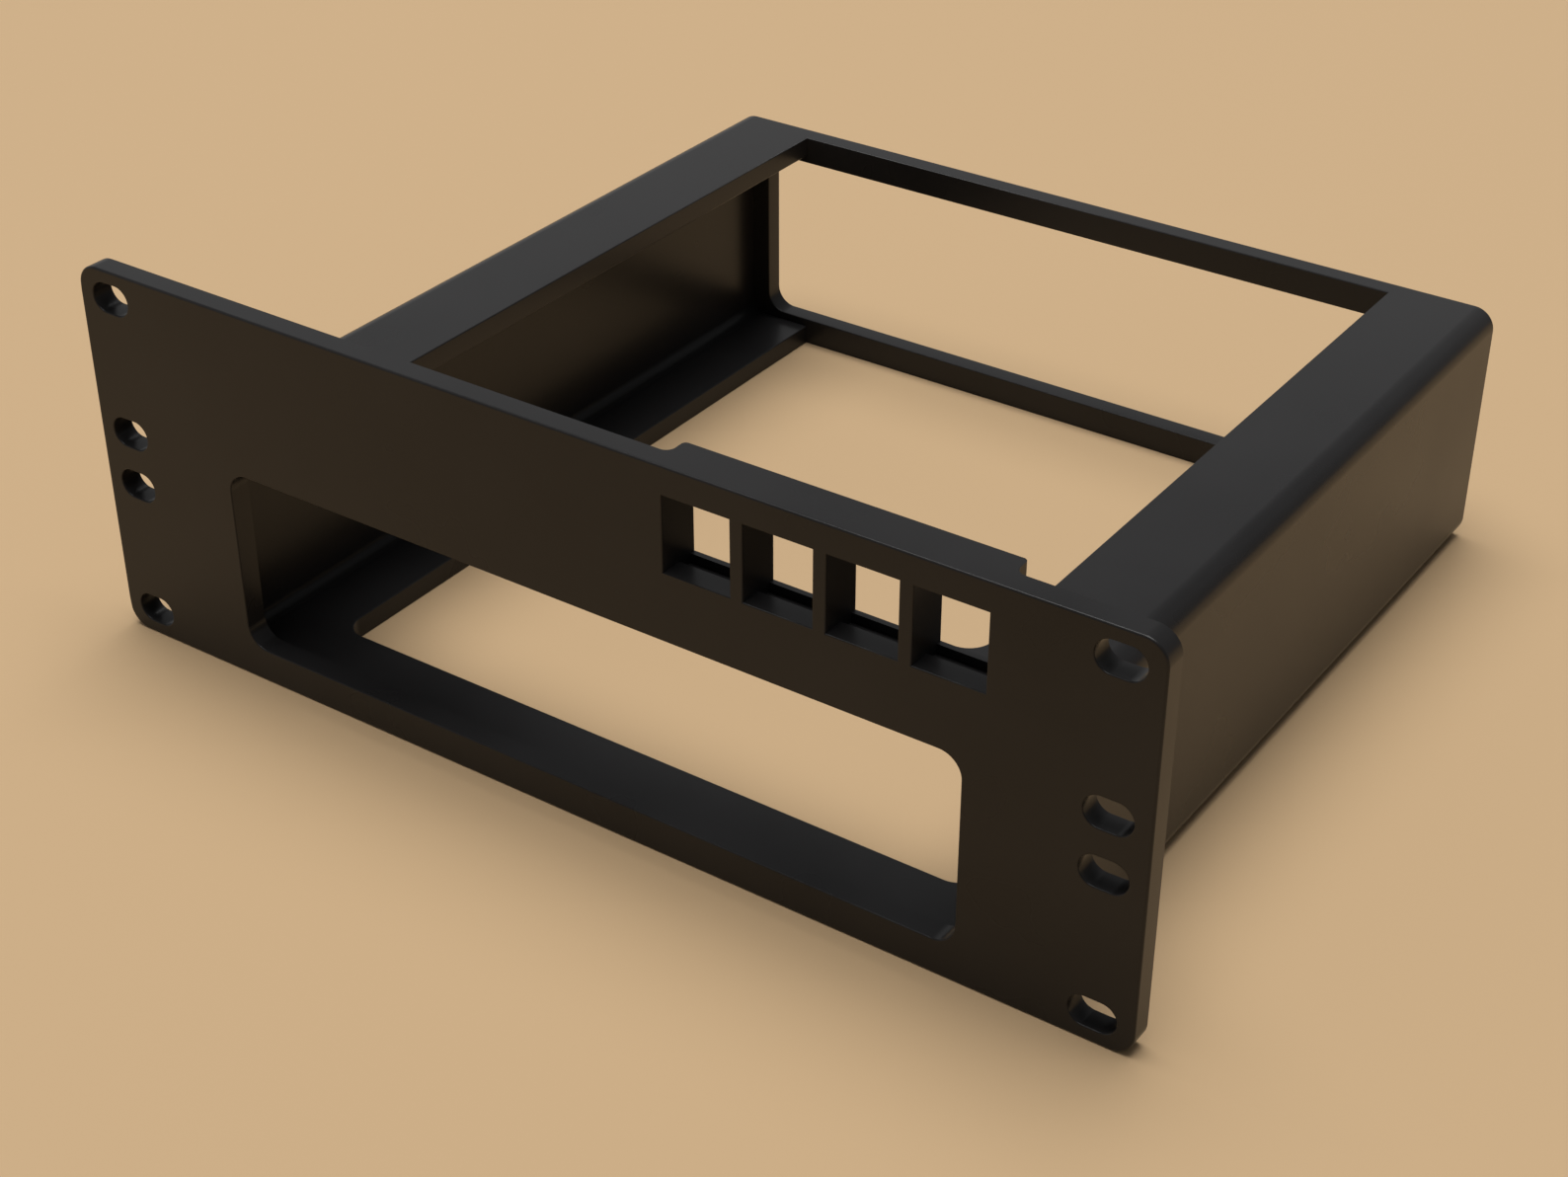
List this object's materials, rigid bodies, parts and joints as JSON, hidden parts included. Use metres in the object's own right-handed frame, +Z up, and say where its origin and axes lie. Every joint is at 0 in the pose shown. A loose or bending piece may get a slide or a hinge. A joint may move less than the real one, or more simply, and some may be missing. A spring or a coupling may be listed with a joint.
{
  "type": "rack mount bracket",
  "caption": "Ten inch rack bracket: a slotted front panel with an open box behind it for a small device, and a row of keystone jack windows.",
  "frame": {"origin": "middle of the pattern of rack slots, on the panel's rear face, which bears on the rack's rails", "axes": "+X to the right seen from the front, +Y into the rack, +Z up"},
  "size_m": [0.254, 0.206, 0.0888],
  "materials": {
    "shell": "smooth matte black"
  },
  "bodies": {
    "root": {"bracket": "shell"}
  },
  "joints": []
}
